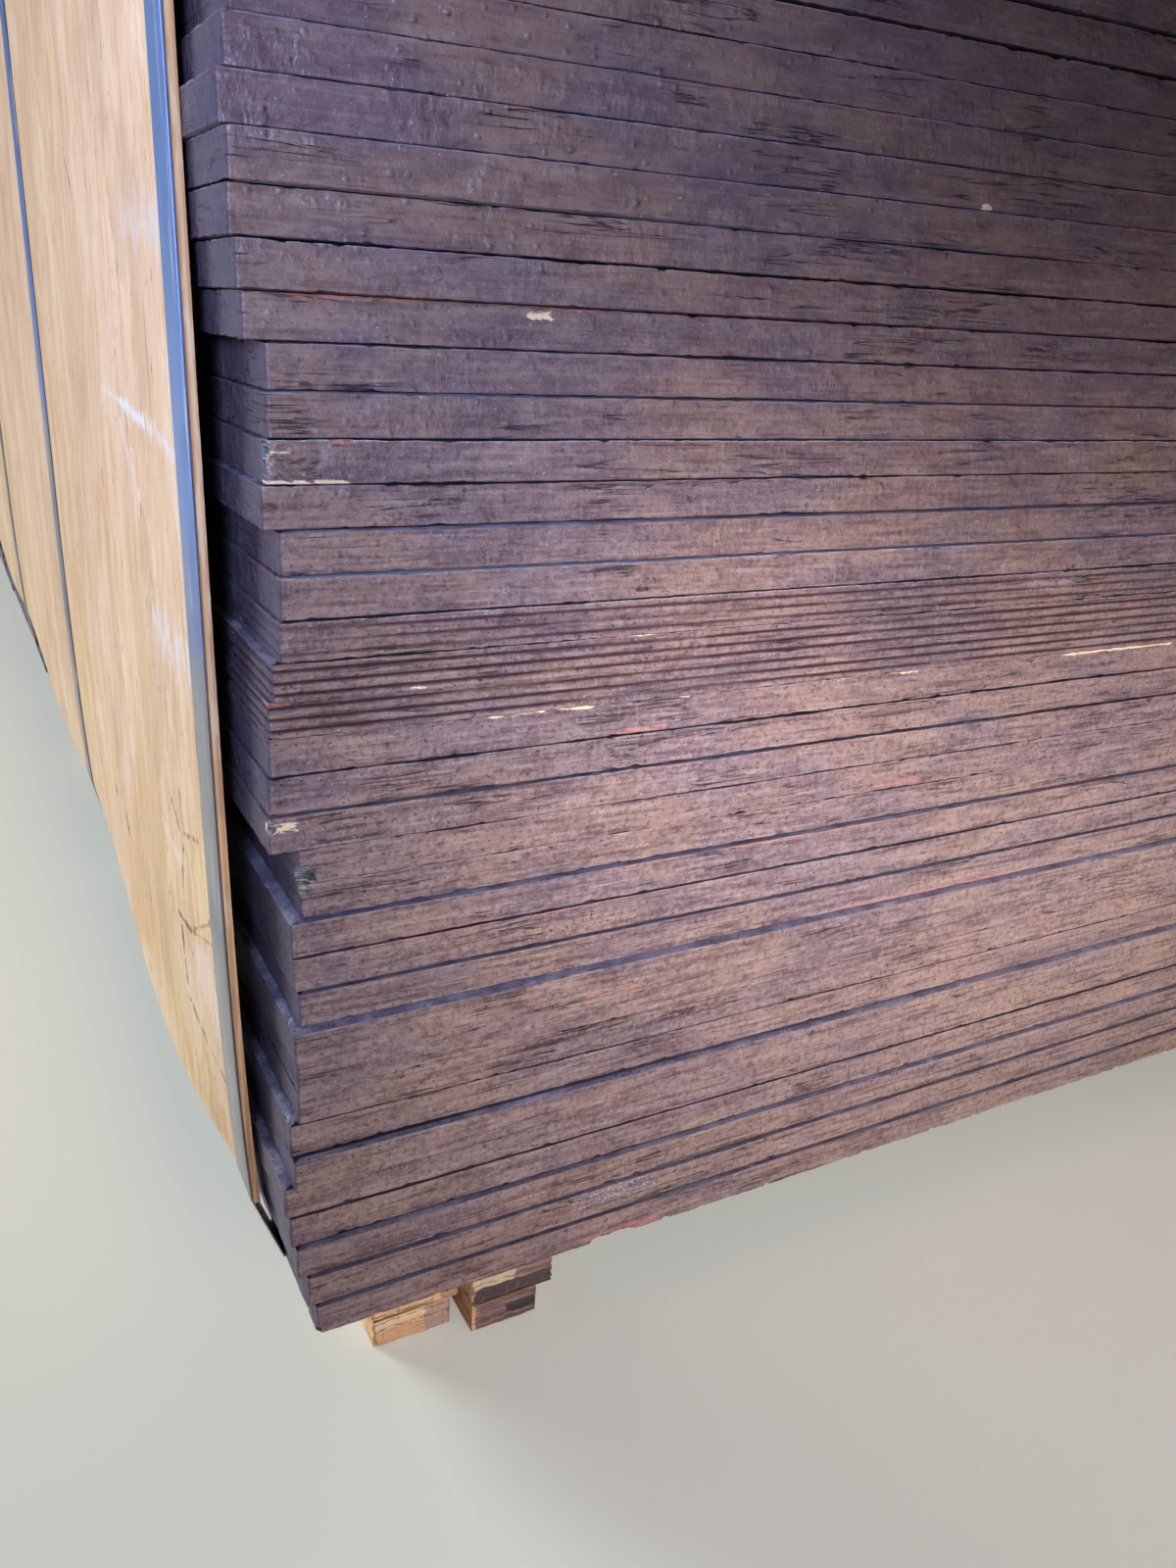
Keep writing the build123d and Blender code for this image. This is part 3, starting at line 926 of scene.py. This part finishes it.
# %% [markdown]
# The left board has scratches, cracks, stains and a torn patch of its own. Each is a stroke between two
# points on its side: a mask made of the distance to the line between them, made ragged by a noise. Its
# near margin, between the board's near end and the first strap, is made dark maroon, and a mask across
# the pack keeps all this off the other board.

# %% The strokes on the left board
flat = add(tree, "VectorMath", {0: place(tree), 1: (0, 1, 1)}, operation="MULTIPLY").outputs["Vector"]
uneven = combine(tree, "SUBTRACT", noise(tree, (1, 150, 60), detail=4, rough=0.7), 0.5)


def stroke(start, end, half_width, soft, raggedness):
    """A mask round a line between two points, given as Y from the near end and Z from the floor."""
    first = Vector((0, cad_box[0].y + start[0] * mm, start[1] * mm))
    reach = Vector((0, cad_box[0].y + end[0] * mm, end[1] * mm)) - first
    offset = add(tree, "VectorMath", {0: flat, 1: first}, operation="SUBTRACT").outputs["Vector"]
    across_line = add(tree, "VectorMath", {0: offset, 1: reach}, operation="DOT_PRODUCT").outputs["Value"]
    share = levels(tree, across_line, 0, reach.length_squared, 0, 1, smooth=False)
    nearest = add(tree, "VectorMath", {0: reach, "Scale": share}, operation="SCALE").outputs["Vector"]
    away = add(tree, "VectorMath", {0: offset, 1: nearest}, operation="DISTANCE").outputs["Value"]
    ragged = combine(tree, "ADD", away, product(tree, uneven, 4 * raggedness * half_width * mm))
    return levels(tree, ragged, half_width * mm * (1 - soft), half_width * mm, 1.0, 0.0)


WHITE, BLUE, ROSY = (0.8, 0.8, 0.88), (0.68, 0.7, 0.82), (0.9, 0.7, 0.62)
STRAW, CRACK, KNOT = (0.9, 0.68, 0.36), (0.1, 0.05, 0.04), (0.34, 0.19, 0.09)

# Start and end as Y and Z, half width, softness, raggedness, share and colour
strokes = [
    ((110, 565), (190, 567), 12, 1.0, 1.5, 0.35, BLUE), ((308, 484), (215, 481), 3.0, 0.9, 2.0, 0.6, WHITE),
    ((271, 483), (174, 477), 3.5, 0.8, 1.6, 0.8, WHITE), ((174, 477), (99, 467), 5.0, 1.0, 2.0, 0.5, WHITE),
    ((253, 473), (203, 438), 3.0, 0.8, 2.0, 0.5, WHITE), ((180, 428), (172, 402), 4.0, 0.8, 2.0, 0.5, ROSY),
    ((192, 417), (203, 379), 1.4, 0.8, 2.0, 0.6, KNOT), ((344, 526), (336, 509), 1.6, 0.8, 2.0, 0.6, WHITE),
    ((110, 366), (181, 375), 14, 1.0, 1.8, 0.45, WHITE), ((352, 622), (346, 591), 0.8, 0.7, 2.5, 0.5, CRACK),
    ((364, 438), (334, 423), 0.8, 0.7, 2.5, 0.5, CRACK), ((258, 519), (268, 488), 0.8, 0.7, 2.5, 0.45, CRACK),
    ((345, 285), (361, 240), 0.9, 0.7, 2.5, 0.55, CRACK), ((112, 250), (108, 232), 20, 0.25, 1.3, 0.5, STRAW),
    ((125, 195), (85, 150), 17, 0.4, 1.5, 0.6, ROSY), ((184, 283), (163, 271), 1.3, 0.6, 2.0, 0.8, CRACK),
    ((163, 271), (151, 255), 1.3, 0.6, 2.0, 0.8, CRACK), ((202, 253), (161, 243), 3.5, 0.6, 1.5, 0.7, ROSY),
    ((147, 266), (118, 272), 1.6, 0.6, 2.0, 0.75, KNOT), ((151, 255), (160, 228), 1.0, 0.6, 2.5, 0.7, CRACK),
    ((174, 206), (149, 206), 1.4, 0.6, 2.0, 0.8, CRACK), ((149, 206), (95, 236), 1.8, 0.7, 2.0, 0.7, KNOT),
    ((149, 206), (77, 226), 1.2, 0.7, 2.0, 0.6, KNOT), ((170, 198), (166, 155), 1.3, 0.6, 2.5, 0.8, CRACK),
    ((166, 155), (134, 141), 1.3, 0.6, 2.5, 0.75, CRACK), ((134, 141), (90, 130), 1.2, 0.6, 2.5, 0.7, CRACK),
    ((378, 209), (361, 185), 2.6, 0.5, 1.6, 0.85, CRACK), ((390, 215), (370, 196), 3.0, 0.6, 1.6, 0.7, STRAW),
    ((361, 185), (346, 178), 1.6, 0.6, 2.0, 0.8, CRACK), ((424, 190), (424, 189), 5.0, 0.5, 1.2, 0.8, KNOT),
    ((402, 617), (379, 591), 1.0, 0.6, 2.0, 0.7, CRACK),
]
on_left_board = levels(tree, axis(tree, "X"), -0.4, -0.3, 1.0, 0.0)
for start, end, half_width, soft, raggedness, share, tone in strokes:
    mask = product(tree, stroke(start, end, half_width, soft, raggedness), on_left_board, share)
    board_colour = mix(tree, mask, board_colour, tone)
ragged_along = combine(tree, "ADD", axis(tree, "Y"), product(tree, fibres, 4 * mm))
first_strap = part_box("steel_strap_1")[0].y
margin = levels(tree, ragged_along, first_strap + 1 * mm, first_strap + 3 * mm, 1.0, 0.0)
board_colour = mix(tree, product(tree, margin, 0.8), board_colour, (0.16, 0.06, 0.06))
tree.links.new(board_colour, shader.inputs["Base Color"])
print(len(strokes), "strokes")

# %% [markdown]
# The boards' narrow edges show their thin layers, light and dark in turn, rubbed pale in places.

# %% The veneer's edge
layer_thick = 1.7 * mm
board_edge, tree, shader = new_material("veneer edge")
layers = combine(tree, "PINGPONG", combine(tree, "DIVIDE", axis(tree, "X"), layer_thick), 1.0)
rubbed = noise(tree, (300, 300, 30), (1, 1, 0), detail=3)
edge_colour = mix(tree, levels(tree, layers, 0.3, 0.6), (0.8, 0.46, 0.23), (0.62, 0.32, 0.16))
edge_colour = mix(tree, levels(tree, rubbed, 0.5, 0.65, 0, 0.7), edge_colour, (0.9, 0.65, 0.42))
tree.links.new(edge_colour, shader.inputs["Base Color"])
shader.inputs["Roughness"].default_value = 0.7
tree.links.new(relief(tree, rubbed, 0.4 * mm), shader.inputs["Normal"])
print("veneer edge", len(tree.nodes), "nodes")

# %% [markdown]
# The left board is pulled in by the straps and bulges between them, so it is one soft curve. The packed
# model has that curve in straight steps: a copy of its mesh, merged, turned into quads and subdivided,
# makes it smooth, with creases to keep its edges square.

# %% The side boards
def copy_of(node, name):
    """A merged copy of a CAD node's mesh, with the same flat sides."""
    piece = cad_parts[node].copy()
    piece.data = piece.data.copy()
    piece.parent = None
    piece.name = name
    piece.data.materials.clear()
    bpy.context.scene.collection.objects.link(piece)
    edit(piece)
    bpy.ops.mesh.select_all(action="SELECT")
    bpy.ops.mesh.remove_doubles(threshold=0.01 * mm)
    bpy.ops.mesh.tris_convert_to_quads(face_threshold=radians(25), shape_threshold=radians(60))
    done()
    return piece


def finish(piece, node, slot, material=None):
    """Gives a finished piece its material, its smooth shading and its place in the model."""
    if material:
        piece.data.materials.append(material)
    bpy.ops.object.select_all(action="DESELECT")
    piece.select_set(True)
    bpy.context.view_layer.objects.active = piece
    bpy.ops.object.shade_smooth_by_angle(angle=radians(40))
    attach(piece, "root")
    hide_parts(node)
    print(piece.name, len(piece.data.polygons), "faces")


def smooth_board(node, name, levels_of_detail):
    """A side board as one smooth curve with square edges."""
    board = copy_of(node, name)
    edit(board)
    pick(board, "EDGE", lambda point, edge: edge.is_manifold and edge.calc_face_angle() > radians(60))
    bpy.ops.transform.edge_crease(value=1.0)
    done()
    modifier = board.modifiers.new("smooth", "SUBSURF")
    modifier.levels = levels_of_detail
    modifier.render_levels = levels_of_detail
    bpy.ops.object.modifier_apply(modifier=modifier.name)
    return board


board_left = smooth_board("cover_board_left", "veneer_board_left", 3)
board_right = smooth_board("cover_board_right", "veneer_board_right", 2)
board_top = copy_of("cover_board_top", "veneer_board_top")
for board in (board_left, board_right, board_top):
    board.data.materials.append(veneer)
    board.data.materials.append(board_edge)
    edit(board)
    pick(board, "FACE", lambda point, face: abs(face.normal.y) > 0.7)
    board.active_material_index = 1
    bpy.ops.object.material_slot_assign()
    done()
finish(board_left, "cover_board_left", "cover_veneer")
finish(board_right, "cover_board_right", "cover_veneer")
finish(board_top, "cover_board_top", "cover_veneer")

# %% [markdown]
# The straps are blued steel band, 32 mm wide, with a thin oxide in darker patches and bright scratches
# where the tensioner ran. They are grey low down and blue higher up, where they mirror the sky: a painted
# reflection. Their closed path is exact in the imported model, so a copy is only given rounded edges.

# %% The straps
steel, tree, shader = new_material("blued strap")
tint = noise(tree, (12, 12, 12), detail=3)
scratch = noise(tree, (260, 260, 14), (1, 2, 3), detail=2)
sky_reflection_height = combine(tree, "ADD", axis(tree, "Z"), product(tree, tint, 0.3))
# Grey below and blue above: a painted reflection of the sky, growing with height.
strap_colour = mix(tree, levels(tree, sky_reflection_height, 0.5, 0.63), (0.36, 0.35, 0.36), (0.25, 0.38, 0.74))
strap_colour = coat(tree, strap_colour, [
    (levels(tree, tint, 0.5, 0.7, 0, 0.4), (0.14, 0.17, 0.32)),
    (levels(tree, scratch, 0.62, 0.7, 0, 0.8), (0.7, 0.72, 0.78)),
])
tree.links.new(strap_colour, shader.inputs["Base Color"])
shader.inputs["Metallic"].default_value = 0.6
tree.links.new(levels(tree, tint, 0.3, 0.7, 0.34, 0.48), shader.inputs["Roughness"])
tree.links.new(relief(tree, scratch, 0.1 * mm), shader.inputs["Normal"])


def round_edges(piece, amount, sides=2):
    """Rounds all sharp edges of a piece by a small amount."""
    bpy.context.view_layer.objects.active = piece
    modifier = piece.modifiers.new("round", "BEVEL")
    modifier.width = amount
    modifier.segments = sides
    modifier.limit_method = "ANGLE"
    modifier.angle_limit = radians(50)
    bpy.ops.object.modifier_apply(modifier=modifier.name)


strap_names = sorted(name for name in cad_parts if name.startswith("steel_strap"))
for name in strap_names:
    band = copy_of(name, f"blued_{name}")
    round_edges(band, 0.2 * mm)
    finish(band, name, "strap_steel", steel)

# %% [markdown]
# The seals that close the straps are bare, crimped steel on the top of the pack.

# %% The seals
bright, tree, shader = new_material("seal steel")
wear_of_seal = noise(tree, (150, 150, 150), detail=3)
seal_colour = mix(tree, levels(tree, wear_of_seal, 0.4, 0.6), (0.38, 0.39, 0.41), (0.55, 0.56, 0.58))
tree.links.new(seal_colour, shader.inputs["Base Color"])
shader.inputs["Metallic"].default_value = 0.9
shader.inputs["Roughness"].default_value = 0.38
seals = copy_of("strap_seals", "crimped_seals")
round_edges(seals, 0.15 * mm)
finish(seals, "strap_seals", "seal_steel", bright)

# %% [markdown]
# The feet are offcuts of the same plywood in two layers. Their sawn sides are fresh and show the plies
# as light and dark lines, and a noise makes the lines and the borders of all fields ragged.

# %% The sawn wood of the feet
sawn, tree, shader = new_material("sawn offcut")
tear = combine(tree, "SUBTRACT", noise(tree, (150, 150, 90), (3, 1, 0), detail=3, rough=0.7), 0.5)
height = combine(tree, "ADD", axis(tree, "Z"), product(tree, tear, 3 * mm))
ragged_x = combine(tree, "ADD", axis(tree, "X"), product(tree, tear, 14 * mm))
every_other = combine(tree, "PINGPONG", combine(tree, "DIVIDE", height, ply), 1.0)
dark_line = levels(tree, every_other, 0.0, 0.2, 1.0, 0.0)
fibre = noise(tree, (500, 500, 60), detail=3)
long_fibre = noise(tree, (30, 30, 800), detail=3)
sawn_colour = mix(tree, levels(tree, every_other, 0.35, 0.65), (0.93, 0.6, 0.34), (0.76, 0.43, 0.22))
sawn_colour = mix(tree, levels(tree, long_fibre, 0.5, 0.66, 0, 0.6), sawn_colour, (0.9, 0.66, 0.4))
shader.inputs["Roughness"].default_value = 0.75
bump = relief(tree, fibre, 0.5 * mm)
bump = relief(tree, every_other, 0.6 * mm, 1.0, bump)
tree.links.new(bump, shader.inputs["Normal"])
print("sawn wood", len(tree.nodes), "nodes")

# %% [markdown]
# The near pair of feet is seen close up. Fields on its end give the rest: fresh wood, brown stains, the
# purple-brown paint that some layers still carry, and near-black fields.

# %% The fields on the near feet
left_of_pack = cad_box[0].x + 30 * mm


def within(low_x, high_x, low_z, high_z):
    """A mask for a field of the end, in millimetres from the pack's left side and from the floor."""
    left, right = left_of_pack + low_x * mm, left_of_pack + high_x * mm
    half = 0.5 * mm
    return product(
        tree,
        levels(tree, ragged_x, left - mm, left + mm),
        levels(tree, ragged_x, right - mm, right + mm, 1, 0),
        levels(tree, height, low_z * mm - half, low_z * mm + half),
        levels(tree, height, high_z * mm - half, high_z * mm + half, 1, 0),
    )


facing_end = levels(tree, combine(tree, "ABSOLUTE", side_normal(tree, "Y")), 0.4, 0.6)
brown_paint = mix(tree, levels(tree, long_fibre, 0.4, 0.6), (0.09, 0.055, 0.06), (0.28, 0.17, 0.16))

# The field's sides, its colour and its share
fields = [
    ((60, 89, 31, 36), (0.93, 0.74, 0.55), 0.8), ((72, 89, 18, 30), (0.42, 0.22, 0.16), 0.6),
    ((30, 64, 12, 17), (0.95, 0.74, 0.5), 0.8), ((62, 84, 0, 18), (0.5, 0.34, 0.29), 0.85),
    ((88, 112, 28, 36), (0.62, 0.5, 0.36), 0.9), ((112, 140, 28, 36), brown_paint, 0.9),
    ((88, 140, 18, 28), (0.025, 0.022, 0.04), 0.95), ((88, 132, 0, 18), brown_paint, 0.95),
    ((108, 132, 4, 12), (0.02, 0.018, 0.03), 0.9),
]
for sides, tone, share in fields:
    sawn_colour = mix(tree, product(tree, within(*sides), facing_end, share), sawn_colour, tone)
sawn_colour = coat(tree, sawn_colour, [
    (product(tree, dark_line, combine(tree, "ADD", facing_end, 0.3)), (0.12, 0.05, 0.04)),
    (levels(tree, fibre, 0.6, 0.7, 0, 0.6), (0.3, 0.16, 0.08)),
])
tree.links.new(sawn_colour, shader.inputs["Base Color"])
print(len(fields), "fields")

# %% [markdown]
# The seen blocks' sides are divided finely, and a noise tears every other ply of theirs deeper.

# %% The feet
torn_plies = clouds("torn plies", 5 * mm, 0.3, 0.7)
smallest_side = 4 * mm * 20 * mm


def near_left(point):
    return point.x < cad_box[0].x + 0.2 and point.y < cad_box[0].y + 0.3


def loose_ply(point):
    """Every other ply is more torn than the one below it."""
    return (1.0 if int(point.z / ply) % 2 else 0.4) if near_left(point) else 0.0


def seen_side_of_block(point, face):
    return near_left(point) and abs(face.normal.z) < 0.5 and face.calc_area() > smallest_side


for node in ("foot_blocks_upper", "foot_blocks_lower"):
    blocks = copy_of(node, f"sawn_{node}")
    round_edges(blocks, 0.3 * mm)
    edit(blocks)
    pick(blocks, "FACE", seen_side_of_block)
    bpy.ops.mesh.subdivide(number_cuts=20)
    done()
    group(blocks, "torn", loose_ply)
    push(blocks, torn_plies, -1.8 * mm, "torn")
    finish(blocks, node, "offcut_ply", sawn)

# %% [markdown]
# The standard view transform shows colours as they are written.

# %% The view
bpy.context.scene.view_settings.view_transform = "Standard"
